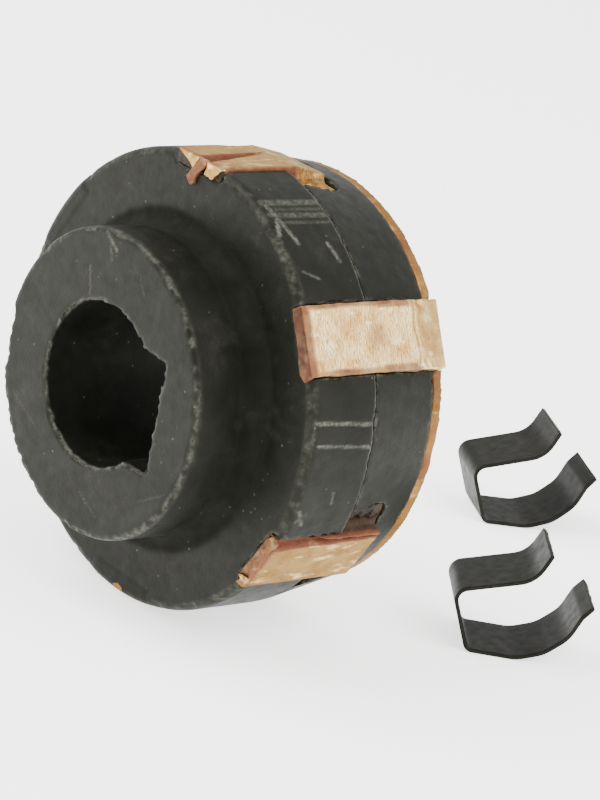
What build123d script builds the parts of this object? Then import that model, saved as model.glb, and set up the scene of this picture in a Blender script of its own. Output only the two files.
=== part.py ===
from build123d import *
import os

# Contact drum hub: two black mouldings stacked on a slotted bore, six flat copper bars in the rim,
# a copper ring on the rear face, and two loose spring clips lying behind the drum.
#
# Row frame: the bore runs along Y with the boss towards -Y and the rear face at y = 0. The origin is
# on the bore's axis at the rear face, and the slot beside the bore faces +X. The drum lies on the
# flat of its lowest bar. Drum pieces are drawn standing up, with the bore along Z and the boss on
# top, and lay() turns them down.

# drum
drum_radius = 22.5
drum_width = 18.0
drum_edge = 0.9
boss_radius = 15.05
boss_length = 7.5
boss_edge = 0.5
boss_fillet = 1.5
parting_height = 9.9
rear_taper = 1.4

# bore, and the slot beside it
bore_radius = 7.9375
slot_width = 11.1
slot_depth = 9.2
slot_corner = 0.6

# sleeve of the hub moulding, which passes through the rear moulding and the ring
sleeve_wall = 1.3
sleeve_clearance = 0.05
seat_clearance = 0.02

# slip ring on the rear face, and link ring on the parting plane
ring_step = 0.1
ring_gap = 1.5
ring_thickness = 1.2
link_gap = 0.9
link_rim = 1.6
link_thickness = 0.8
link_tab_width = 4.0

# bars
bar_count = 6
bar_first_angle = 30.0
bar_width = 6.7
bar_proud = 0.1
bar_thickness = 1.5
long_bend_height = 4.0
long_bend_drop = 1.25
short_slab_ends = [8.7, 5.0, 5.0]
head_end = 5.0
head_length = 4.4
head_width = 11.2
head_sunk = 0.9
head_thickness = 1.2
pocket_margin = 0.3
pocket_corner = 1.2

# countersunk screws from the rear
screw_count = 3
screw_first_angle = 90.0
screw_circle = 16.4
screw_radius = 1.25
screw_head_radius = 2.1
screw_head_height = 0.85
screw_length = 13.5
screw_slot_width = 0.6
screw_slot_depth = 0.5
screw_clearance = 0.1

# spring clips. Points are in the plane of the profile, from the corner of the upper bend.
strip_thickness = 0.4
strip_width = 8.0
clip_height = 6.0
back_run = 2.5
hinge_run = 1.8
flat_arm_end = (7.7, 2.4)
flat_lip_end = (8.9, 5.3)
flat_lip_radius = 2.0
bow = [(7.6, -clip_height), (10.2, -5.0), (12.3, -3.0), (13.2, -0.6), (14.1, 0.6)]
bow_radii = [4.0, 4.0, 4.0, 1.5]
bend_radius = 1.2
lower_bend_radius = 0.9
knuckle_radius = 0.38
knuckle_clearance = 0.04
clip_places = [(-13.4, 39.4, 60.5), (13.8, 13.0, 52.0)]

# worked out
drum_height = drum_width + boss_length
slot_reach = (slot_depth**2 + (slot_width / 2) ** 2) ** 0.5
sleeve_radius = slot_reach + sleeve_wall
rear_radius = drum_radius - rear_taper
ring_radius = rear_radius - ring_step
ring_inner_radius = sleeve_radius + ring_gap
bar_flat = drum_radius + bar_proud
bar_floor = bar_flat - bar_thickness
head_radius = drum_radius - head_sunk
head_floor = head_radius - head_thickness
link_radius = bar_floor - link_gap
link_inner_radius = link_radius - link_rim
bar_angles = [bar_first_angle + index * 360 / bar_count for index in range(bar_count)]
long_angles = bar_angles[0::2]
short_angles = bar_angles[1::2]
screw_angles = [screw_first_angle + index * 360 / screw_count for index in range(screw_count)]
beyond = drum_radius + 5
UP = (Align.CENTER, Align.CENTER, Align.MIN)
OUT = (Align.MIN, Align.CENTER, Align.MIN)


def disc(radius, low, high):
    return Pos(0, 0, low) * Cylinder(radius, high - low, align=UP)


def block(x_low, x_high, width, low, high):
    return Pos(x_low, 0, low) * Box(x_high - x_low, width, high - low, align=OUT)


def turned(shape, angle):
    return Rotation(0, 0, angle) * shape


def rounded_disc(radius, low, high, edge):
    """A disc with its upper rim rounded."""
    shape = disc(radius, low, high)
    return fillet(shape.edges().filter_by(GeomType.CIRCLE).group_by(Axis.Z)[-1], edge)


def long_bar(clearance=0.0, outer=bar_flat, overrun=0.0):
    """A long bar, bent in over the ring, or the channel that it lies in."""
    floor = bar_floor - clearance
    slope = long_bend_drop / long_bend_height
    low = -overrun
    side = Polyline(
        (floor, drum_width + overrun),
        (floor, long_bend_height),
        (floor - slope * (long_bend_height - low), low),
        (outer - slope * (long_bend_height - low), low),
        (outer, long_bend_height),
        (outer, drum_width + overrun),
        close=True,
    )
    width = bar_width + 2 * clearance
    return extrude(Plane.XZ.offset(-width / 2) * make_face(side), width)


def short_bar(slab_end):
    """A short bar: a flat slab, and a T-shaped head sunk in a pocket of the rear moulding."""
    head_top = head_end + head_length
    slab = block(bar_floor, bar_flat, bar_width, slab_end, drum_width)
    head = block(head_floor, beyond, head_width, head_end, head_top) & disc(head_radius, 0, drum_width)
    return slab + head


def short_channel(slab_end):
    """What a short bar takes out of the mouldings: a channel, and the pocket round its head."""
    floor = head_floor - seat_clearance
    channel_low = min(slab_end, parting_height) - seat_clearance
    channel = block(bar_floor - seat_clearance, beyond, bar_width + 2 * seat_clearance, channel_low, drum_width + 1)
    pocket = block(floor, beyond, head_width + 2 * pocket_margin, head_end - pocket_margin, parting_height)
    return channel + fillet(pocket.edges().filter_by(Axis.X).group_by(Axis.Z)[0], pocket_corner)


def screw(clearance=0.0):
    """A countersunk screw with its head in the rear face, or the hole that it goes into."""
    head = Cone(screw_head_radius + clearance, screw_radius + clearance, screw_head_height, align=UP)
    shank = disc(screw_radius + clearance, screw_head_height, screw_length + clearance)
    return Pos(screw_circle, 0, 0) * (head + shank)


def screw_driver_slot():
    return Pos(screw_circle, 0, 0) * Box(3 * screw_head_radius, screw_slot_width, 2 * screw_slot_depth)


def link(clearance=0.0):
    """The link ring with a tab under each short bar, or the recess that it lies in."""
    high = parting_height + link_thickness + clearance
    ring = disc(link_radius + clearance, parting_height, high)
    ring -= disc(link_inner_radius - clearance, parting_height - 1, high + 1)
    tab_width = link_tab_width + 2 * clearance
    tab = block(link_inner_radius, bar_floor - seat_clearance, tab_width, parting_height, high)
    for angle in short_angles:
        ring += turned(tab, angle)
    return ring


def bore_and_slot():
    slot = block(0, slot_depth, slot_width, -1, drum_height + 1)
    slot = fillet(slot.edges().filter_by(Axis.Z).group_by(Axis.X)[-1], slot_corner)
    return slot + disc(bore_radius, -1, drum_height + 1)


def cut_all(shape, cutters):
    for cutter in cutters:
        shape -= cutter
    return shape


long_channels = [turned(long_bar(seat_clearance, beyond, 1), angle) for angle in long_angles]
short_channels = [turned(short_channel(end), angle) for end, angle in zip(short_slab_ends, short_angles)]
screw_holes = [turned(screw(screw_clearance), angle) for angle in screw_angles]


def make_hub_moulding():
    """Front half of the drum, with the boss and the sleeve that carries the whole bore."""
    shape = rounded_disc(drum_radius, parting_height, drum_width, drum_edge)
    shape += rounded_disc(boss_radius, drum_width, drum_height, boss_edge)
    shape += disc(sleeve_radius, 0, parting_height)
    circles = shape.edges().filter_by(GeomType.CIRCLE)
    corner = circles.filter_by(lambda edge: abs(edge.radius - boss_radius) < 0.01)
    shape = fillet(corner.sort_by(Axis.Z)[0], boss_fillet)
    recess = link(seat_clearance)
    return cut_all(shape, [bore_and_slot(), recess] + long_channels + short_channels + screw_holes)


def make_rear_moulding():
    height = parting_height - ring_thickness
    shape = Pos(0, 0, ring_thickness) * Cone(rear_radius, drum_radius, height, align=UP)
    sleeve_hole = disc(sleeve_radius + sleeve_clearance, 0, parting_height + 1)
    return cut_all(shape, [sleeve_hole] + long_channels + short_channels + screw_holes)


def make_slip_ring():
    shape = disc(ring_radius, 0, ring_thickness) - disc(ring_inner_radius, -1, ring_thickness + 1)
    return cut_all(shape, long_channels + screw_holes)


def strip(points, radii):
    """A bent strip of the clips' steel, from its centre line, rising from the profile's plane."""
    line = FilletPolyline(*points, radius=radii)
    return extrude(make_face(offset(line, strip_thickness / 2, side=Side.BOTH).edges()), strip_width)


def stand_clip(shape, place):
    """From the profile's plane onto the bench, turned about the vertical."""
    x, y, turn = place
    upper_bend = -bar_flat + strip_thickness / 2 + clip_height
    return Pos(x, y, upper_bend) * Rotation(0, 0, turn) * Rotation(90, 0, 0) * shape


def lay(shape):
    return Rotation(90, 0, 0) * shape


nodes = {
    "hub_moulding": lay(make_hub_moulding()),
    "rear_moulding": lay(make_rear_moulding()),
    "slip_ring": lay(make_slip_ring()),
    "link_ring": lay(link()),
}
for index, angle in enumerate(long_angles):
    nodes[f"long_bar_{index + 1}"] = lay(turned(long_bar(), angle))
for index, angle in enumerate(short_angles):
    nodes[f"short_bar_{index + 1}"] = lay(turned(short_bar(short_slab_ends[index]), angle))
for index, angle in enumerate(screw_angles):
    nodes[f"ring_screw_{index + 1}"] = lay(turned(screw() - screw_driver_slot(), angle))

# The flat arm flexes at the hinge, on its centre line just past the upper bend.
flat_arm_slope = flat_arm_end[1] / flat_arm_end[0]
hinge = (hinge_run, hinge_run * flat_arm_slope)
knuckle = Pos(*hinge) * Cylinder(knuckle_radius, strip_width, align=UP)
socket = Pos(*hinge) * Cylinder(knuckle_radius + knuckle_clearance, 3 * strip_width)
clip_flat_arm = strip([hinge, flat_arm_end, flat_lip_end], [flat_lip_radius]) - socket
back = [hinge, (0, 0), (back_run, -clip_height)]
clip_bow_arm = strip(back + bow, [bend_radius, lower_bend_radius] + bow_radii) + knuckle
for index, place in enumerate(clip_places):
    nodes[f"clip_{index + 1}_flat_arm"] = stand_clip(clip_flat_arm, place)
    nodes[f"clip_{index + 1}_bow_arm"] = stand_clip(clip_bow_arm, place)

os.makedirs("parts", exist_ok=True)
for name, shape in nodes.items():
    export_step(shape, f"parts/{name}.step")
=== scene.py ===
import bmesh
import bpy
import math
import numpy as np
from mathutils import Matrix, Vector, noise


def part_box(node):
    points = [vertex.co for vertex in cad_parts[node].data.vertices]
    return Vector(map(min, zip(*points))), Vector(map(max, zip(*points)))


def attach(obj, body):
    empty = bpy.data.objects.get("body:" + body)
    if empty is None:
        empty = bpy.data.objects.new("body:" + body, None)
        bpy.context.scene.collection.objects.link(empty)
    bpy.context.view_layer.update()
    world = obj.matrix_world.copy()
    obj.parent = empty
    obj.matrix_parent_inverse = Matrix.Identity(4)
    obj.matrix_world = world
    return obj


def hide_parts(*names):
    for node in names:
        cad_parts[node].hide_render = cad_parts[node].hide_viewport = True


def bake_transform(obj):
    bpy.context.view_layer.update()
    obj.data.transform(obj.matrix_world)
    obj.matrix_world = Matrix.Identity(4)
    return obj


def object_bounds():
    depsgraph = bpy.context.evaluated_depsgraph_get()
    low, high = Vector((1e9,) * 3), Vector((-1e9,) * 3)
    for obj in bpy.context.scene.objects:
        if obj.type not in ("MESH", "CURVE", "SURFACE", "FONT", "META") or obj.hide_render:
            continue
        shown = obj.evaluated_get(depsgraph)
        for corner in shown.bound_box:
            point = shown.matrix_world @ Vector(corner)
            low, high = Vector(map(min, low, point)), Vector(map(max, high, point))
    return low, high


# Contact drum hub: worn black mouldings, hammered copper bars in the rim and two loose spring clips.
# Sizes are in millimetres and angles in degrees. A place on the drum is a radius, an angle from the
# slot, and a height above the rear face towards the boss.

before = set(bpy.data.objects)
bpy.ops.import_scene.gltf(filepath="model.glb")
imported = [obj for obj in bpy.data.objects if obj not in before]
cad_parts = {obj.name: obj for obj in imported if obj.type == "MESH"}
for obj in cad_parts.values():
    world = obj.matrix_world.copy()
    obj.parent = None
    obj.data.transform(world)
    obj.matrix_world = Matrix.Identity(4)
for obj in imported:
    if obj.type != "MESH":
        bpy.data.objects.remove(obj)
cad_low, cad_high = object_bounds()
scene = bpy.context.scene
MM = 0.001

# drum
hub_low, hub_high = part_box("hub_moulding")
drum_radius = hub_high.x / MM
drum_height = -hub_low.y / MM
drum_width = 18.0
drum_edge = 0.9
boss_radius = 15.05
bore_radius = 7.9375
parting_height = 9.9
ring_thickness = 1.2
rear_taper = 1.4
bar_width = 6.7
bar_flat = drum_radius + 0.1
bar_bend_height = 4.0
head_radius = drum_radius - 0.9
head_reach = 4.0
long_bars = {"long_bar_1": 30, "long_bar_2": 150, "long_bar_3": 270}
short_bars = {"short_bar_1": 90, "short_bar_2": 210, "short_bar_3": 330}
bar_angles = long_bars | short_bars

# flaps and flash at the bars' front ends: bar, finish, how far it stands proud of the drum's face,
# stain, soot, and outline as across the bar and out from the bore
lips = [
    (
        "short_bar_1", "golden", 0.28, 0.05, 0.0,
        [(3.1, 22.5), (-0.05, 22.5), (0.35, 21.7), (0.6, 21.2), (1.4, 21.8)],
    ),
    (
        "short_bar_1", "golden", 0.28, 0.85, 0.0,
        [(0.0, 22.5), (-1.3, 22.5), (-1.1, 21.8), (-0.1, 20.9), (0.1, 19.9), (0.6, 19.6), (1.4, 20.3),
         (0.9, 20.9), (0.5, 21.6)],
    ),
    (
        "short_bar_1", "golden", 0.28, 0.08, 0.0,
        [(-1.35, 22.5), (-3.6, 22.4), (-3.0, 21.7), (-2.4, 21.0), (-1.2, 21.2)],
    ),
    (
        "long_bar_1", "pale", 0.28, 1.0, 0.75,
        [(3.2, 22.2), (-3.4, 22.2), (-3.7, 21.4), (-2.9, 20.9), (-1.0, 21.1), (2.9, 21.4)],
    ),
    (
        "short_bar_3", "amber", 0.28, 0.20, 0.0,
        [(-1.9, 22.5), (-3.4, 22.5), (-3.7, 21.5), (-3.0, 21.7), (-2.8, 21.1), (-2.3, 21.9)],
    ),
    (
        "short_bar_3", "amber", 0.28, 0.80, 0.1,
        [(3.2, 22.4), (-1.9, 22.5), (-1.4, 21.8), (-0.8, 22.0), (-0.2, 21.5), (0.6, 21.9), (1.2, 21.4),
         (1.9, 21.8), (2.7, 21.3), (3.3, 21.6)],
    ),
    (
        "long_bar_3", "golden", 0.10, 0.55, 0.0,
        [(0.9, 22.1), (-0.5, 22.1), (-0.6, 21.75), (0.1, 21.45), (0.8, 21.65)],
    ),
]
skinned_bars = ("long_bar_2", "long_bar_3", "short_bar_2")

# clips, in the plane of each profile, from the corner of the upper bend
strip_thickness = 0.4
strip_width = 8.0
strip_corner = 0.09
strip_step = 0.16
clip_height = 6.0
clip_back_run = 2.5
clip_lip = [(8.9, 5.3), (7.7, 2.4)]
clip_bow = [(7.6, -clip_height), (10.2, -5.0), (12.3, -3.0), (13.2, -0.6), (14.1, 0.6)]
clip_radii = [3.2, 1.2, 0.9, 4.0, 4.0, 4.0, 1.5]
clip_places = {"clip_1": (-13.4, 39.4, 60.5), "clip_2": (13.8, 13.0, 52.0)}


# ---------------------------------------------------------------- numbers on a mesh
def smoothstep(values, low, high):
    share = np.clip((values - low) / (high - low), 0, 1)
    return share * share * (3 - 2 * share)


def lumps(points, size, seed=0.0, stretch=(1, 1, 1)):
    """Smooth noise from about -1 to 1 at each point, with lumps of the given size."""
    scaled = points / (size * np.array(stretch)) + seed * 17.3
    return np.array([noise.noise(point) for point in scaled])


def read_points(mesh):
    points = np.zeros(len(mesh.vertices) * 3, np.float32)
    mesh.vertices.foreach_get("co", points)
    return points.reshape(-1, 3).astype(float) / MM


def write_points(mesh, points):
    """Puts the points back, none of them outside the CAD model's box."""
    inside = np.clip(points * MM, np.array(cad_low), np.array(cad_high))
    mesh.vertices.foreach_set("co", inside.astype(np.float32).ravel())
    mesh.update()


def read_normals(mesh):
    normals = np.zeros(len(mesh.vertices) * 3, np.float32)
    mesh.vertex_normals.foreach_get("vector", normals)
    return normals.reshape(-1, 3).astype(float)


def bulge(mesh, points, normals, rounds):
    """How far each vertex stands out from the surface round it: above 0 on an outer edge."""
    edges = np.zeros(len(mesh.edges) * 2, np.int32)
    mesh.edges.foreach_get("vertices", edges)
    first, second = edges.reshape(-1, 2).T
    total = len(points)
    share = 1 / np.maximum(np.bincount(edges, minlength=total), 1)
    smooth = points.copy()
    for _ in range(rounds):
        for axis in range(3):
            here = smooth[:, axis].copy()
            summed = np.bincount(first, here[second], total) + np.bincount(second, here[first], total)
            smooth[:, axis] = summed * share
    return ((points - smooth) * normals).sum(1)


def paint(mesh, name, values):
    """Keeps a number from 0 to 1 at each vertex for the materials."""
    attribute = mesh.attributes.new(name, "FLOAT", "POINT")
    attribute.data.foreach_set("value", np.clip(values, 0, 1).astype(np.float32))


def line_mask(points, start, end, width):
    """1 on the line between two points, 0 farther than the width from it."""
    start, end = np.array(start), np.array(end)
    along = end - start
    share = np.clip((points - start) @ along / (along @ along), 0, 1)
    distance = np.linalg.norm(points - start - share[:, None] * along, axis=1)
    return 1 - smoothstep(distance, 0.4 * width, width)


def on_drum(radius, angle, height):
    turn = math.radians(angle)
    return (radius * math.cos(turn), -height, radius * math.sin(turn))


def drum_places(points):
    """The radius, angle and height of each point."""
    angle = np.degrees(np.arctan2(points[:, 2], points[:, 0]))
    return np.hypot(points[:, 0], points[:, 2]), angle, -points[:, 1]


def angle_from(angle, centre):
    return (angle - centre + 180) % 360 - 180


# ---------------------------------------------------------------- materials
class Nodes:
    """A new material, with short calls for its nodes. Sizes are in millimetres."""

    def __init__(self, name):
        self.material = bpy.data.materials.new(name)
        self.material.use_nodes = True
        self.tree = self.material.node_tree
        self.shader = self.tree.nodes["Principled BSDF"]
        self.place = self.add("ShaderNodeTexCoord").outputs["Object"]

    def add(self, kind, **settings):
        node = self.tree.nodes.new(kind)
        for name, value in settings.items():
            setattr(node, name, value)
        return node

    def feed(self, socket, value):
        if isinstance(value, bpy.types.NodeSocket):
            self.tree.links.new(value, socket)
        else:
            socket.default_value = value

    def stretched(self, stretch):
        mapping = self.add("ShaderNodeMapping")
        self.feed(mapping.inputs["Vector"], self.place)
        mapping.inputs["Scale"].default_value = [1 / part for part in stretch]
        return mapping.outputs["Vector"]

    def noise(self, size, detail=4.0, stretch=None):
        texture = self.add("ShaderNodeTexNoise")
        self.feed(texture.inputs["Vector"], self.stretched(stretch) if stretch else self.place)
        texture.inputs["Scale"].default_value = 1 / (size * MM)
        texture.inputs["Detail"].default_value = detail
        return texture.outputs["Fac"]

    def cells(self, size):
        texture = self.add("ShaderNodeTexVoronoi")
        self.feed(texture.inputs["Vector"], self.place)
        texture.inputs["Scale"].default_value = 1 / (size * MM)
        return texture.outputs["Distance"]

    def painted(self, name):
        return self.add("ShaderNodeAttribute", attribute_name=name).outputs["Fac"]

    def span(self, value, low, high, to_low=0.0, to_high=1.0):
        """The value's range from low to high, turned into another range."""
        reach = self.add("ShaderNodeMapRange")
        for name, number in zip(("Value", "From Min", "From Max", "To Min", "To Max"),
                                (value, low, high, to_low, to_high)):
            self.feed(reach.inputs[name], number)
        return reach.outputs["Result"]

    def math(self, operation, first, second):
        result = self.add("ShaderNodeMath", operation=operation)
        self.feed(result.inputs[0], first)
        self.feed(result.inputs[1], second)
        return result.outputs["Value"]

    def mix(self, share, first, second):
        blend = self.add("ShaderNodeMix", data_type="RGBA")
        self.feed(blend.inputs["Factor"], share)
        self.feed(blend.inputs["A"], first)
        self.feed(blend.inputs["B"], second)
        return blend.outputs["Result"]

    def finish(self, colour, roughness, height, depth):
        """Colour, roughness and bump of the given depth."""
        bump = self.add("ShaderNodeBump")
        self.feed(bump.inputs["Height"], height)
        bump.inputs["Distance"].default_value = depth * MM
        self.feed(self.shader.inputs["Base Color"], colour)
        self.feed(self.shader.inputs["Roughness"], roughness)
        self.feed(self.shader.inputs["Normal"], bump.outputs["Normal"])
        return self.material


def make_phenolic():
    """Black moulding compound: mottled, dusty in its scuffs, grey where its edges are worn, and duller
    where it is painted matt."""
    nodes = Nodes("black_moulding")
    nodes.shader.inputs["Specular IOR Level"].default_value = 0.13
    nodes.shader.inputs["Specular Tint"].default_value = (1.0, 1.0, 0.86, 1)
    mottle = nodes.noise(3.0, 6)
    body = nodes.mix(nodes.span(mottle, 0.35, 0.7), (0.0030, 0.0032, 0.0022, 1), (0.0065, 0.0068, 0.0048, 1))
    grain = nodes.noise(0.35, 5)
    worn = nodes.math("MULTIPLY", nodes.painted("wear"), nodes.span(grain, 0.35, 0.65, 0.25, 1.0))
    colour = nodes.mix(worn, body, (0.15, 0.15, 0.12, 1))
    specks = nodes.math("MULTIPLY", nodes.span(nodes.cells(1.3), 0.11, 0.05), nodes.span(mottle, 0.48, 0.58))
    colour = nodes.mix(nodes.math("MULTIPLY", specks, 0.45), colour, (0.12, 0.12, 0.095, 1))
    roughness = nodes.span(nodes.noise(1.2, 5), 0.3, 0.7, 0.42, 0.56)
    roughness = nodes.math("ADD", roughness, nodes.math("MULTIPLY", worn, 0.2))
    roughness = nodes.math("ADD", roughness, nodes.math("MULTIPLY", nodes.painted("matt"), 0.4))
    return nodes.finish(colour, roughness, nodes.math("ADD", grain, nodes.noise(1.1, 3)), 0.02)


def make_copper(name, bright, tan, painted_glint, tarnish, roughness):
    """Hammered copper: tan patches, painted highlight streaks along the bar, red-brown stains and black soot.
    """
    nodes = Nodes(name)
    nodes.shader.inputs["Specular Tint"].default_value = (0.96, 0.86, 0.73, 1)
    cloud = nodes.noise(2.2, 6)
    ticks = nodes.noise(0.33, 4, (1.5, 0.6, 1.5))
    colour = nodes.mix(nodes.span(cloud, 0.38, 0.66), bright, tan)
    # painted highlight: pale streaks along the bar stand in for glints of light off the hammered face
    colour = nodes.mix(nodes.span(nodes.noise(1.1, 4, (1, 2.6, 1)), 0.56, 0.66, 0.0, 0.8), colour, painted_glint)
    colour = nodes.mix(nodes.span(ticks, 0.56, 0.70, 0.0, 0.5), colour, tarnish)
    stain = nodes.span(nodes.noise(1.2, 4), 0.35, 0.55, 0.86, 1.0)
    stain = nodes.math("MULTIPLY", nodes.painted("stain"), stain)
    colour = nodes.mix(stain, colour, tarnish)
    soot = nodes.span(nodes.noise(0.8, 4), 0.3, 0.5, 0.8, 1.0)
    soot = nodes.math("MULTIPLY", nodes.painted("soot"), soot)
    colour = nodes.mix(soot, colour, (0.007, 0.006, 0.004, 1))
    dull = nodes.math("MAXIMUM", stain, soot)
    nodes.feed(nodes.shader.inputs["Metallic"], nodes.span(dull, 0.2, 1.0, 1.0, 0.25))
    rough = nodes.span(nodes.noise(0.9, 4), 0.3, 0.7, roughness - 0.08, roughness + 0.1)
    rough = nodes.math("ADD", rough, nodes.math("MULTIPLY", dull, 0.3))
    return nodes.finish(colour, rough, nodes.math("ADD", ticks, nodes.noise(0.8, 5)), 0.09)


def make_steel(name, metallic, dark, light, roughness):
    """Steel, bare or under a dark oxide skin, with fine streaks, and lighter where rubbed or on a painted
    edge highlight.
    """
    nodes = Nodes(name)
    nodes.shader.inputs["Metallic"].default_value = metallic
    nodes.shader.inputs["Specular IOR Level"].default_value = 0.5 if metallic else 0.07
    nodes.shader.inputs["Specular Tint"].default_value = (1.0, 0.99, 0.86, 1)
    streaks = nodes.noise(0.9, 5, (3, 3, 1.2))
    colour = nodes.mix(nodes.span(streaks, 0.35, 0.7), dark, light)
    # lighter where rubbed, and along the clips' side edges a painted highlight
    rubbed_or_highlight = nodes.span(nodes.noise(0.4, 4), 0.35, 0.6, 0.3, 1.0)
    rubbed_or_highlight = nodes.math("MULTIPLY", nodes.painted("wear"), rubbed_or_highlight)
    colour = nodes.mix(rubbed_or_highlight, colour, (0.20, 0.19, 0.16, 1))
    rough = nodes.span(nodes.noise(1.0, 4), 0.3, 0.7, roughness - 0.06, roughness + 0.08)
    return nodes.finish(colour, rough, streaks, 0.01)


phenolic = make_phenolic()
tarnish = (0.12, 0.030, 0.014, 1)
# colours of each copper's painted highlight streaks
pale_painted_glint = (0.88, 0.72, 0.42, 1)
golden_painted_glint = (0.72, 0.54, 0.24, 1)
ring_painted_glint = (0.40, 0.25, 0.10, 1)
# painted highlight: a brighter copy of the copper, for the bar that faces the light
pale_highlight_copper = make_copper(
    "pale_highlight_copper", (0.76, 0.53, 0.24, 1), (0.52, 0.30, 0.095, 1), pale_painted_glint, tarnish, 0.40
)
golden_copper = make_copper(
    "golden_copper", (0.40, 0.242, 0.074, 1), (0.31, 0.163, 0.038, 1), golden_painted_glint, tarnish, 0.38
)
amber_copper = make_copper(
    "amber_copper", (0.30, 0.180, 0.050, 1), (0.21, 0.108, 0.022, 1), golden_painted_glint, tarnish, 0.36
)
ring_copper = make_copper(
    "ring_copper", (0.30, 0.165, 0.050, 1), (0.19, 0.098, 0.030, 1), ring_painted_glint, tarnish, 0.5
)
spring_steel = make_steel(
    "spring_steel", 0.0, (0.0020, 0.0019, 0.0012, 1), (0.0052, 0.0050, 0.0034, 1), 0.42
)
screw_steel = make_steel("screw_steel", 1.0, (0.20, 0.19, 0.17, 1), (0.34, 0.32, 0.28, 1), 0.35)
# the pale finish is that brighter copy of the copper, a painted highlight
finishes = {"pale": pale_highlight_copper, "golden": golden_copper, "amber": amber_copper}


# ---------------------------------------------------------------- pieces from CAD nodes
def dense_copy(node, voxel):
    """A CAD node's shape as an even, dense mesh, with its edges just broken."""
    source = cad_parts[node]
    mesh = source.data.copy()
    mesh.materials.clear()
    work = bmesh.new()
    work.from_mesh(mesh)
    bmesh.ops.remove_doubles(work, verts=work.verts, dist=0.001 * MM)
    work.to_mesh(mesh)
    work.free()
    return remeshed(f"{node}_worn", mesh, voxel)


def remeshed(name, mesh, voxel):
    """A closed mesh as a new piece, remade from small even squares."""
    piece = bpy.data.objects.new(name, mesh)
    scene.collection.objects.link(piece)
    remesh = piece.modifiers.new("remesh", "REMESH")
    remesh.mode = "VOXEL"
    remesh.voxel_size = voxel * MM
    remesh.use_smooth_shade = True
    whole = piece.evaluated_get(bpy.context.evaluated_depsgraph_get())
    piece.data = bpy.data.meshes.new_from_object(whole)
    piece.modifiers.clear()
    return piece


def settle(piece, body, material, slot, *nodes):
    """Gives a finished piece its material, and puts it in place of CAD nodes on their body. The slot is not
    used.
    """
    piece.data.materials.clear()
    piece.data.materials.append(material)
    for polygon in piece.data.polygons:
        polygon.use_smooth = True
    if body:
        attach(piece, body)
    if nodes:
        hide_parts(*nodes)


def true_round(points, normals, radius, low, high):
    """Takes the CAD mesh's facets out of a round wall. The radius may be a number for each point."""
    here, _, height = drum_places(points)
    wall = (abs(here - radius) < 0.12) & (height > low) & (height < high) & (abs(normals[:, 1]) < 0.4)
    factor = np.where(wall, radius / np.maximum(here, 0.1), 1.0)
    points[:, 0] *= factor
    points[:, 2] *= factor


rim_scratches = [
    ((10.4, 17.3), (9.1, 10.1), 0.24, 0.8),
    ((4.8, 16.9), (3.5, 10.2), 0.20, 0.7),
    ((67.9, 17.0), (67.6, 10.1), 0.55, 0.42),
    ((65.6, 16.8), (65.2, 10.1), 0.30, 0.22),
    ((63.6, 17.0), (63.2, 10.1), 0.45, 0.36),
    ((61.2, 16.9), (60.9, 10.1), 0.28, 0.26),
    ((67.0, 16.8), (55.0, 15.6), 0.35, 0.8),
    ((62.0, 16.6), (57.5, 17.3), 0.30, 0.9),
    ((54.5, 12.0), (49.5, 11.5), 0.30, 0.7),
    ((47.0, 16.4), (45.0, 14.8), 0.20, 0.5),
    ((-12.5, 16.9), (-16.5, 16.0), 0.30, 0.55),
    ((-15.5, 16.9), (-13.5, 15.9), 0.22, 0.5),
    ((-8.0, 13.4), (-11.0, 13.2), 0.18, 0.45),
    ((112.0, 16.5), (124.0, 12.0), 0.20, 0.4),
    ((178.0, 17.0), (186.0, 13.5), 0.22, 0.4),
    ((238.0, 16.0), (246.0, 11.0), 0.20, 0.4),
]
boss_scratches = [
    ((14.7, 100.5), (13.2, 93.0), 0.24, 0.55),
    ((14.3, 98.0), (12.2, 95.5), 0.16, 0.3),
    ((11.3, 111.5), (8.6, 113.2), 0.16, 0.28),
    ((12.6, 75.0), (11.4, 68.0), 0.16, 0.14),
    ((13.2, 205.0), (11.0, 222.0), 0.18, 0.12),
    ((10.8, 272.0), (12.9, 286.0), 0.16, 0.14),
    ((12.4, 318.0), (14.0, 333.0), 0.16, 0.16),
]


def scratched(points):
    """How strongly the listed scratches mark each point of the drum."""
    marks = np.zeros(len(points))
    for (angle_1, height_1), (angle_2, height_2), width, strength in rim_scratches:
        start, end = on_drum(drum_radius, angle_1, height_1), on_drum(drum_radius, angle_2, height_2)
        marks = np.maximum(marks, strength * line_mask(points, start, end, width))
    for (radius_1, angle_1), (radius_2, angle_2), width, strength in boss_scratches:
        start, end = on_drum(radius_1, angle_1, drum_height), on_drum(radius_2, angle_2, drum_height)
        marks = np.maximum(marks, strength * line_mask(points, start, end, width))
    return marks * (0.75 + 0.4 * lumps(points, 1.2, 3))


def chip_edges(points, normals, outward, depth):
    """Breaks outer edges with chips of uneven depth, and returns how worn each vertex is."""
    edge = smoothstep(outward, 0.025, 0.12)
    coarse, fine = lumps(points, 2.4, 1), lumps(points, 0.8, 2)
    chips = np.clip(1.5 * coarse + 1.3 * fine - 0.1, 0, 1)
    points -= normals * (edge * depth * (0.10 + chips))[:, None]
    return edge * np.clip(0.35 + 0.9 * fine + 0.5 * coarse, 0, 1)


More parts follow.
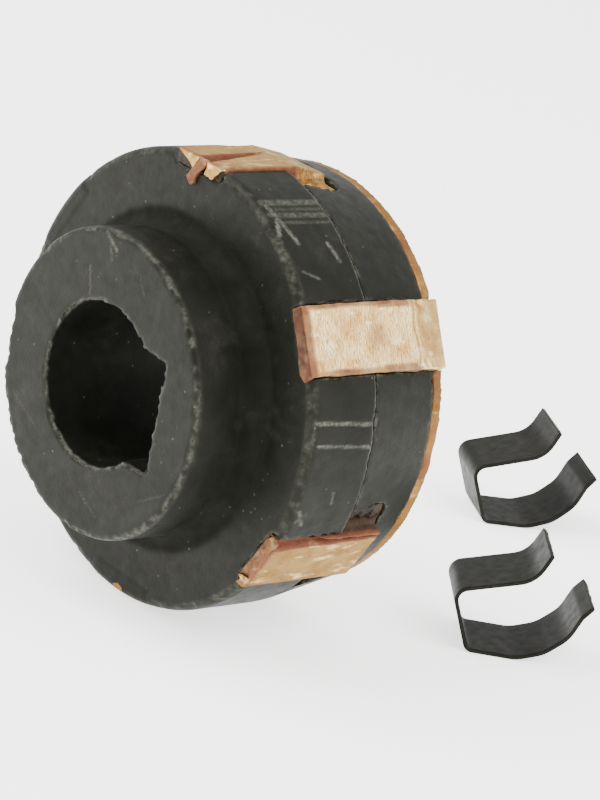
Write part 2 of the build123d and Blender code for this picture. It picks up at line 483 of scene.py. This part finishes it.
def make_hub():
    piece = dense_copy("hub_moulding", 0.2)
    mesh = piece.data
    points, normals = read_points(mesh), read_normals(mesh)
    outward = bulge(mesh, points, normals, 8)
    true_round(points, normals, drum_radius, parting_height + 0.2, drum_width - 0.8)
    true_round(points, normals, boss_radius, drum_width + 1.4, drum_height - 0.5)
    true_round(points, normals, bore_radius, 0.3, drum_height - 0.3)
    radius, angle, height = drum_places(points)

    # the slot's edge is broken away in a ragged line at the boss's face, most of all its lower wall
    inner_rim = (radius < 11.5) & (height > drum_height - 1.6)
    slot_edge = inner_rim & (points[:, 0] > 4.5)
    seam_edge = (radius > drum_radius - 1) & (height < parting_height + 1)
    depth = np.where(slot_edge, 0.8, np.where(seam_edge, 0.10, 0.45))
    depth = np.where(slot_edge & (points[:, 2] < -4.8), 1.4, depth)
    wear = chip_edges(points, normals, outward, depth) * np.where(slot_edge, 1.5, 1.0)
    jag = smoothstep(outward, 0.025, 0.10) * inner_rim
    jag *= np.where(slot_edge, 0.34, 0.12) * (lumps(points, 0.65, 15) + lumps(points, 1.7, 16))
    points[:, 0] += jag * points[:, 0] / np.maximum(radius, 1)
    points[:, 2] += jag * points[:, 2] / np.maximum(radius, 1)

    # a shallow piece is missing from the boss's rim, opposite the slot
    gap = 1 - smoothstep(abs(angle_from(angle, 181.2)) + 2.5 * lumps(points, 2.0, 9), 9.0, 12.5)
    gap *= smoothstep(height, drum_height - 3.5, drum_height - 0.6) * smoothstep(radius, 13.6, 14.6)
    shrink = 1 - 0.45 * gap / np.maximum(radius, 1)
    points[:, 0] *= shrink
    points[:, 2] *= shrink

    points -= normals * (0.02 + 0.02 * lumps(points, 5.0, 5))[:, None]
    scratches = scratched(points)
    points -= normals * (0.04 * scratches)[:, None]
    seam = 1 - smoothstep(height, parting_height + 0.08, parting_height + 0.24)
    seam *= radius > drum_radius - 0.4
    seam *= 0.9 + 0.5 * lumps(points, 3.0, 6)
    dust = 0.07 * np.clip(lumps(points, 4.0, 7) + 0.8 * lumps(points, 1.1, 8) - 0.25, 0, 1)

    # the fillet at the boss's foot is matt
    foot = smoothstep(radius, boss_radius - 0.3, boss_radius)
    foot *= 1 - smoothstep(radius - boss_radius, 1.2, 2.2)
    foot *= 1 - smoothstep(height, drum_width + 1.6, drum_width + 2.6)
    write_points(mesh, points)
    paint(mesh, "wear", np.maximum.reduce([0.8 * wear * (1 - 0.6 * seam_edge), scratches, seam, dust]))
    paint(mesh, "matt", foot * (height > drum_width - 0.5))
    settle(piece, "drum", phenolic, "phenolic", "hub_moulding")


def make_rear():
    piece = dense_copy("rear_moulding", 0.22)
    mesh = piece.data
    points, normals = read_points(mesh), read_normals(mesh)
    outward = bulge(mesh, points, normals, 8)
    share = (drum_places(points)[2] - ring_thickness) / (parting_height - ring_thickness)
    tapered = drum_radius - rear_taper * (1 - share)
    true_round(points, normals, tapered, ring_thickness + 0.2, parting_height - 0.2)
    seam_edge = drum_places(points)[2] > parting_height - 1
    wear = chip_edges(points, normals, outward, np.where(seam_edge, 0.1, 0.3))
    points -= normals * (0.02 + 0.02 * lumps(points, 5.0, 5))[:, None]
    dust = 0.07 * np.clip(lumps(points, 4.0, 7) + 0.8 * lumps(points, 1.1, 8) - 0.2, 0, 1)
    write_points(mesh, points)
    paint(mesh, "wear", np.maximum(0.45 * wear, dust))
    settle(piece, "drum", phenolic, "phenolic", "rear_moulding")


def bar_places(points, angle):
    """Each point's place on a bar: out from the bore, across the bar (anticlockwise), and height."""
    turn = math.radians(angle)
    out = points[:, 0] * math.cos(turn) + points[:, 2] * math.sin(turn)
    across = -points[:, 0] * math.sin(turn) + points[:, 2] * math.cos(turn)
    return out, across, -points[:, 1]


def bar_points(out, across, height, angle):
    turn = math.radians(angle)
    x = out * math.cos(turn) - across * math.sin(turn)
    z = out * math.sin(turn) + across * math.cos(turn)
    return np.stack([x, -height, z], axis=1)


def hammered(out, across, height, outward, border_width, seed):
    """Beats the face of a bar uneven and its edges ragged. Returns the new place and the stain."""
    flat = np.stack([out, across, height], axis=1)
    edge = smoothstep(outward, 0.03, 0.16)
    ragged = lumps(flat, 1.1, seed)
    out = out - 0.05 * (0.7 + 0.7 * lumps(flat, 1.6, seed + 1)) - 0.16 * edge * np.clip(ragged + 0.3, 0, 1)
    across = across + 0.10 * lumps(flat, 1.4, seed + 2) * smoothstep(abs(across), 2.2, 3.3)
    border = bar_width / 2 - border_width * (1 + lumps(flat, 1.8, seed + 3, (1, 1, 2))) - abs(across)
    stain = 0.95 * (1 - smoothstep(border, -0.05, 0.30))
    return out, across, height, stain


def make_long_bar(node, angle, copper, burnt, seed):
    """Burnt is how much of the front end's thickness is black with soot."""
    piece = dense_copy(node, 0.13)
    mesh = piece.data
    points, normals = read_points(mesh), read_normals(mesh)
    outward = bulge(mesh, points, normals, 8)
    out, across, height = bar_places(points, angle)
    out, across, height, stain = hammered(out, across, height, outward, 0.3, seed)
    flat = np.stack([out, across, height], axis=1)
    crease = bar_bend_height + 0.3 + 0.35 * lumps(flat, 2.5, seed + 4)
    crack = np.exp(-(((height - crease) / 0.13) ** 2))
    out = out - 0.14 * crack * (0.6 + 0.6 * lumps(flat, 1.2, seed + 5))
    corners = smoothstep(abs(across), 1.6, 3.0) * np.exp(-(((height - 3.3) / 0.9) ** 2))
    out = out - 0.30 * corners * (0.6 + 0.9 * lumps(flat, 0.7, seed + 7))
    front = smoothstep(height, drum_width - 0.95, drum_width - 0.45)
    out = out - 0.35 * front * (0.5 + 0.6 * lumps(flat, 1.0, seed + 6))
    # the fully burnt ends are rounded off with the drum's own edge
    if burnt == 1:
        rounding = np.clip(height - drum_width + drum_edge, 0, drum_edge)
        widest = drum_radius - drum_edge + np.sqrt(drum_edge**2 - rounding**2)
        turned_in = smoothstep(height, drum_width - 3, drum_width - 1)
        radius = np.hypot(out, across)
        shrink = np.where(radius > widest, 1 - turned_in * (1 - widest / radius), 1)
        out, across = out * shrink, across * shrink
    smudge = 0.6 * np.exp(-(((height - 9.3) / 1.0) ** 2) - ((across - 0.2) / 0.8) ** 2)
    write_points(mesh, bar_points(out, across, height, angle))
    red_side = smoothstep(height, 4.4, 5.0) * (1 - smoothstep(height, 8.5, 9.5))
    red_side *= smoothstep(abs(across), 2.55, 2.85)
    stain = stain * smoothstep(height, 3.6, 4.6) * (0.75 + 0.6 * lumps(flat, 3.0, seed + 8))
    stain = np.maximum.reduce([stain, 0.9 * front, 0.6 * crack, smudge, 0.8 * red_side])
    paint(mesh, "stain", np.maximum(stain, 0.5 * corners * (lumps(flat, 0.5, seed + 9) + 0.2)))
    paint(mesh, "soot", burnt * front * smoothstep(bar_flat - out, 0.25, 0.6))
    settle(piece, "drum", copper, "copper", node)


def make_short_bar(node, angle, copper, burnt, slab_end, sunk_ear, border_width, seam_front, seam_rear, seed):
    """The seam is an open fold in the face. Its front is a place across the bar and a width, and its
    rear a place across the bar and a height. The sunk ear is the head's side, 1 or -1, or 0 for none."""
    piece = dense_copy(node, 0.13)
    mesh = piece.data
    points, normals = read_points(mesh), read_normals(mesh)
    outward = bulge(mesh, points, normals, 8)
    out, across, height = bar_places(points, angle)
    out, across, height, stain = hammered(out, across, height, outward, border_width, seed)
    flat = np.stack([out, across, height], axis=1)
    (front_across, front_width), (rear_across, rear_height) = seam_front, seam_rear
    share = np.clip((drum_width - height) / (drum_width - rear_height), 0, 1)
    seam_width = front_width * (1 - share)
    middle = front_across + (rear_across - front_across) * share + 0.12 * lumps(flat, 2.0, seed + 4)
    distance = abs(across - middle)
    open_seam = smoothstep(seam_width, 0.0, 0.1)
    seam = open_seam * (1 - smoothstep(distance, 0.6 * seam_width, seam_width + 0.1))
    red_seam = open_seam * (1 - smoothstep(distance, seam_width + 0.1, seam_width + 0.35))
    out = out - 0.9 * seam * (out > bar_flat - 0.6)

    # past the slab, the face runs down to the head in a slope, and the head's ears are crumpled
    slope = bar_flat - 0.1 - 0.85 * (slab_end - height) / head_reach
    sloping = (height < slab_end) & (abs(across) < bar_width / 2) & (out > head_radius - 0.5)
    out = np.where(sloping & (slab_end > parting_height - 2), np.maximum(out, slope), out)
    ear = smoothstep(abs(across), bar_width / 2 + 0.1, bar_width / 2 + 0.5)
    out = out - 0.26 * ear * (0.5 + 0.5 * np.cos(height * 4.6 + 1.2 * across))
    pit = ear * (np.sign(across) == sunk_ear) * smoothstep(height, 5.0, 5.5)
    out = out - 1.0 * pit * (out > head_radius - 0.6)
    front = smoothstep(height, drum_width - 0.5, drum_width - 0.2)
    write_points(mesh, bar_points(out, across, height, angle))
    stain = np.where((abs(across) > bar_width / 2 + 0.1) | (height < slab_end - 0.3), 0.35, stain)
    beside = smoothstep(abs(across), bar_width / 2 - 0.2, bar_width / 2) * (np.sign(across) == sunk_ear)
    stain = np.maximum(stain, 0.85 * beside)
    paint(mesh, "stain", np.maximum.reduce([red_seam, 0.8 * front, stain]))
    black_side = 0.85 * beside * smoothstep(bar_flat - out, 0.35, 0.75)
    black_front = burnt * front * smoothstep(bar_flat - out, 0.1, 0.4)
    paint(mesh, "soot", np.maximum.reduce([black_front, pit, black_side]))
    settle(piece, "drum", copper, "copper", node)


def slab(name, angle, outline, low, high, voxel):
    """A new piece between two heights, from its outline as across the bar and out from the bore."""
    work = bmesh.new()
    rows = []
    for height in (low, high):
        places = np.array([(out, across, height) for across, out in outline], float)
        points = bar_points(places[:, 0], places[:, 1], places[:, 2], angle) * MM
        rows.append([work.verts.new(point) for point in points])
    lower, upper = rows
    work.faces.new(lower)
    work.faces.new(list(reversed(upper)))
    for index in range(len(outline)):
        following = (index + 1) % len(outline)
        work.faces.new((lower[following], lower[index], upper[index], upper[following]))
    bmesh.ops.recalc_face_normals(work, faces=work.faces)
    mesh = bpy.data.meshes.new(name)
    work.to_mesh(mesh)
    work.free()
    return remeshed(name, mesh, voxel)


def make_lip(name, angle, proud, stain, burnt, outline, material, seed):
    """A flap of a bar's front end, folded down on the drum's face."""
    piece = slab(name, angle, outline, drum_width - 0.35, drum_width + proud, 0.09)
    mesh = piece.data
    points, normals = read_points(mesh), read_normals(mesh)
    points += normals * (0.25 * proud * lumps(points, 0.7, seed))[:, None]
    write_points(mesh, points)
    paint(mesh, "stain", stain + 0.25 * lumps(points, 0.6, seed + 1))
    paint(mesh, "soot", burnt * (0.7 + 0.5 * lumps(points, 1.0, seed + 2)))
    settle(piece, "drum", material, "copper")


def make_skin(name, angle, seed):
    """A thin skin of moulding over a bar's front end, which runs out into the drum's face and edge."""
    half_width, inner, outer, depth = 5.0, 19.6, 22.9, 0.4
    outline = [(half_width, outer), (-half_width, outer), (-half_width, inner), (half_width, inner)]
    piece = slab(name, angle, outline, 0.0, depth, 0.12)
    mesh = piece.data
    out, across, height = bar_places(read_points(mesh), angle)
    flat = np.stack([out, across, height], axis=1)
    radius = np.hypot(out, across)
    shrink = np.minimum(1, (drum_radius - 0.06) / radius)
    out, across, radius = out * shrink, across * shrink, radius * shrink
    rounding = np.clip(radius - drum_radius + drum_edge, 0, drum_edge)
    surface = drum_width - drum_edge + np.sqrt(drum_edge**2 - rounding**2)
    fade = np.maximum(smoothstep(abs(across), 3.7, 4.9), 1 - smoothstep(out, 19.8, 20.8))
    lift = 0.05 - 0.12 * fade + 0.02 * lumps(flat, 1.5, seed)
    height = surface - depth + (depth + lift) * np.clip(height / depth, 0, 1)
    points = bar_points(out, across, height, angle)
    write_points(mesh, points)
    paint(mesh, "wear", 0.25 * smoothstep(rounding, 0.2, 0.6) * np.clip(lumps(points, 0.9, seed + 1), 0, 1))
    settle(piece, "drum", phenolic, "phenolic")


def make_ring():
    piece = dense_copy("slip_ring", 0.2)
    mesh = piece.data
    points, normals = read_points(mesh), read_normals(mesh)
    outward = bulge(mesh, points, normals, 6)
    radius, _, height = drum_places(points)
    edge = smoothstep(outward, 0.03, 0.16)
    points -= normals * (edge * 0.18 * np.clip(0.4 + lumps(points, 1.3, 11), 0, 1))[:, None]
    points -= normals * (0.03 + 0.03 * lumps(points, 2.0, 12))[:, None]
    worn_track = np.exp(-(((radius - 17.3) / 1.6) ** 2)) * (height < 0.3)
    write_points(mesh, points)
    paint(mesh, "stain", np.clip(0.35 + 0.6 * lumps(points, 1.8, 13) - 0.5 * worn_track, 0, 1))
    settle(piece, "drum", ring_copper, "copper", "slip_ring")


def eased(node, attribute, edge_share):
    """A dense copy of a CAD node with its edges eased, and the attribute painted along them."""
    piece = dense_copy(node, 0.11)
    mesh = piece.data
    points, normals = read_points(mesh), read_normals(mesh)
    outward = bulge(mesh, points, normals, 4)
    points -= normals * (0.03 * smoothstep(outward, 0.02, 0.1))[:, None]
    write_points(mesh, points)
    paint(mesh, attribute, edge_share * smoothstep(outward, 0.02, 0.1))
    return piece


# ---------------------------------------------------------------- clips
def rounded_path(corners, radii, steps):
    """The line through the corners with each inner corner rounded, as evenly fine points."""
    corners = [np.array(corner, float) for corner in corners]
    path = [corners[0]]
    for before, corner, after, radius in zip(corners, corners[1:], corners[2:], radii):
        back = (before - corner) / np.linalg.norm(before - corner)
        ahead = (after - corner) / np.linalg.norm(after - corner)
        half = math.acos(np.clip(back @ ahead, -1, 1)) / 2
        bisector = (back + ahead) / np.linalg.norm(back + ahead)
        centre = corner + bisector * radius / math.sin(half)
        start = corner + back * radius / math.tan(half) - centre
        end = corner + ahead * radius / math.tan(half) - centre
        turn = math.atan2(start[0] * end[1] - start[1] * end[0], start @ end)
        for step in range(steps + 1):
            angle = turn * step / steps
            spin = np.array([[math.cos(angle), -math.sin(angle)], [math.sin(angle), math.cos(angle)]])
            path.append(centre + spin @ start)
    path.append(corners[-1])
    return np.array(path)


def evenly(path, spacing):
    """Points at even spacing along a path."""
    length = np.concatenate([[0], np.cumsum(np.linalg.norm(np.diff(path, axis=0), axis=1))])
    wanted = np.linspace(0, length[-1], int(length[-1] / spacing) + 1)
    return np.stack([np.interp(wanted, length, path[:, axis]) for axis in (0, 1)], axis=1)


def strip_section():
    """Places through the thickness and across the width, in order round the strip's section."""
    half_width, half_thickness = strip_width / 2, strip_thickness / 2
    flat = np.linspace(-half_width + strip_corner, half_width - strip_corner, 25)
    section = [(half_thickness, place) for place in flat]
    turns = np.radians((22.5, 45, 67.5))
    shrinks = list(zip(strip_corner * (1 - np.cos(turns)), strip_corner * (1 - np.sin(turns))))
    section += [(half_thickness - thin, half_width - narrow) for thin, narrow in shrinks]
    section += [(half_thickness - strip_corner, half_width), (strip_corner - half_thickness, half_width)]
    section += [(narrow - half_thickness, half_width - thin) for thin, narrow in shrinks]
    return section + [(-thick, -place) for thick, place in section]


def make_clip(name, seed):
    """One clip, bent from a single strip: the flat arm with its lip, the back, and the bowed arm."""
    corners = clip_lip + [(0.0, 0.0), (clip_back_run, -clip_height)] + clip_bow
    path = evenly(rounded_path(corners, clip_radii, 10), strip_step)
    from_end = [min(row, len(path) - 1 - row) * strip_step for row in range(len(path))]
    along = np.gradient(path, axis=0)
    along /= np.linalg.norm(along, axis=1)[:, None]
    side = np.stack([-along[:, 1], along[:, 0]], axis=1)
    section = strip_section()
    x, y, turn = clip_places[name]
    turn = math.radians(turn)
    upper_bend = cad_low[2] / MM + strip_thickness / 2 + clip_height
    vertices = []
    for index, (place, out) in enumerate(zip(path, side)):
        nearest_end = from_end[index]
        for thick, across in section:
            ragged = 0.10 * noise.noise((across * 0.9, seed * 9.1, 0.0))
            pull = ragged * max(0, 1 - nearest_end / 1.5)
            run, rise = place + out * thick + along[index] * pull * (1 if index > len(path) / 2 else -1)
            width = strip_width / 2 + across * (1 - 0.012 * max(0, 1 - nearest_end / 0.8))
            vertices.append((
                x + run * math.cos(turn) + width * math.sin(turn),
                y + run * math.sin(turn) - width * math.cos(turn),
                upper_bend + rise,
            ))
    count = len(section)
    faces = []
    for row in range(len(path) - 1):
        for column in range(count):
            step = (column + 1) % count
            faces.append((row * count + column, row * count + step,
                          (row + 1) * count + step, (row + 1) * count + column))
    last = (len(path) - 1) * count
    faces.append(tuple(range(count)))
    faces.append(tuple(range(last + count - 1, last - 1, -1)))
    mesh = bpy.data.meshes.new(f"{name}_strip")
    mesh.from_pydata([Vector(vertex) * MM for vertex in vertices], [], faces)
    mesh.update()
    work = bmesh.new()
    work.from_mesh(mesh)
    bmesh.ops.recalc_face_normals(work, faces=work.faces)
    work.to_mesh(mesh)
    work.free()
    points = read_points(mesh)
    write_points(mesh, points)
    across = abs(np.array(section)[:, 1])
    edge = np.tile(smoothstep(across, strip_width / 2 - 0.2, strip_width / 2), len(path))
    ends = np.repeat(1 - smoothstep(np.array(from_end), 0.1, 0.6), count)
    # painted highlight: the strip's side edges are painted lighter; the cut ends are rubbed
    paint(mesh, "wear", np.maximum(0.06 * edge, 0.10 * ends) * (0.6 + 0.4 * lumps(points, 3.0, seed)))
    piece = bpy.data.objects.new(f"{name}_strip", mesh)
    scene.collection.objects.link(piece)
    settle(piece, None, spring_steel, "spring_steel", f"{name}_flat_arm", f"{name}_bow_arm")
    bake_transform(piece)


make_hub()
make_rear()
for index, (node, angle) in enumerate(long_bars.items()):
    # the first long bar takes the brighter copy of the copper, a painted highlight
    copper, burnt = (pale_highlight_copper, 0.5) if index == 0 else (golden_copper, 1.0)
    make_long_bar(node, angle, copper, burnt, 20 + 10 * index)
make_short_bar(
    "short_bar_1", 90, golden_copper, burnt=1.0, slab_end=8.7, sunk_ear=0, border_width=0.05,
    seam_front=(-0.55, 0.85), seam_rear=(0.9, 9.0), seed=60,
)
make_short_bar(
    "short_bar_2", 210, golden_copper, burnt=1.0, slab_end=5.0, sunk_ear=0, border_width=0.20,
    seam_front=(0.9, 0.25), seam_rear=(0.2, 13.0), seed=70,
)
make_short_bar(
    "short_bar_3", 330, amber_copper, burnt=0.15, slab_end=5.0, sunk_ear=1, border_width=0.10,
    seam_front=(2.9, 0.55), seam_rear=(2.9, 3.0), seed=80,
)
for index, (node, finish, proud, stain, burnt, outline) in enumerate(lips):
    name = f"{node}_lip_{index + 1}"
    make_lip(name, bar_angles[node], proud, stain, burnt, outline, finishes[finish], 90 + 3 * index)
for index, node in enumerate(skinned_bars):
    make_skin(f"{node}_skin", bar_angles[node], 120 + 2 * index)
make_ring()
settle(eased("link_ring", "stain", 0.5), "drum", ring_copper, "copper", "link_ring")
for index in (1, 2, 3):
    screw = f"ring_screw_{index}"
    settle(eased(screw, "wear", 0.8), "drum", screw_steel, "screw_steel", screw)
for index, name in enumerate(clip_places):
    make_clip(name, index + 1)


# ---------------------------------------------------------------- camera
def place_camera():
    """Looks down on the boss from the front right, with the camera rolled a little."""
    azimuth, elevation, roll = math.radians(46.16), math.radians(18.2), math.radians(11.9)
    distance, lens = 335.0, 153.0
    target = Vector((4.75, -3.33, -1.28))
    away = Vector((
        math.cos(elevation) * math.sin(azimuth),
        -math.cos(elevation) * math.cos(azimuth),
        math.sin(elevation),
    ))
    level_right = Vector((math.cos(azimuth), math.sin(azimuth), 0))
    level_up = away.cross(level_right)
    right = math.cos(roll) * level_right + math.sin(roll) * level_up
    up = math.cos(roll) * level_up - math.sin(roll) * level_right
    data = bpy.data.cameras.new("camera")
    data.lens = lens
    data.sensor_width = 36.0
    data.clip_start = 0.01
    camera = bpy.data.objects.new("camera", data)
    axes = Matrix((right, up, away)).transposed()
    camera.matrix_world = Matrix.Translation((target + distance * away) * MM) @ axes.to_4x4()
    scene.collection.objects.link(camera)
    scene.camera = camera


place_camera()


# ---------------------------------------------------------------- stage, in metres
def make_floor():
    half = 2.0
    level = cad_low[2] - 0.05 * MM
    mesh = bpy.data.meshes.new("floor")
    corners = [(-half, -half, level), (half, -half, level), (half, half, level), (-half, half, level)]
    mesh.from_pydata(corners, [], [(0, 1, 2, 3)])
    floor = bpy.data.objects.new("floor", mesh)
    scene.collection.objects.link(floor)
    nodes = Nodes("floor")
    colour = nodes.mix(nodes.noise(400.0, 2), (0.93, 0.93, 0.93, 1), (0.95, 0.95, 0.95, 1))
    nodes.shader.inputs["Emission Color"].default_value = (1.0, 1.0, 0.99, 1)
    nodes.shader.inputs["Emission Strength"].default_value = 1.6
    mesh.materials.append(nodes.finish(colour, 0.9, nodes.noise(2.0, 2), 0.01))


def area_light(name, place, aim, size, power):
    data = bpy.data.lights.new(name, "AREA")
    data.shape = "SQUARE"
    data.size = size
    data.energy = power
    light = bpy.data.objects.new(name, data)
    light.location = place
    light.rotation_euler = (Vector(aim) - Vector(place)).to_track_quat("-Z", "Y").to_euler()
    scene.collection.objects.link(light)


make_floor()
area_light("key", (-0.35, -0.35, 0.55), (0, 0, 0), 0.6, 9.0)
area_light("fill", (0.55, 0.1, 0.5), (0, 0, 0), 0.6, 6.0)

world = bpy.data.worlds.new("world")
world.use_nodes = True
world.node_tree.nodes["Background"].inputs["Color"].default_value = (1.0, 1.0, 0.98, 1)
world.node_tree.nodes["Background"].inputs["Strength"].default_value = 1.6
scene.world = world
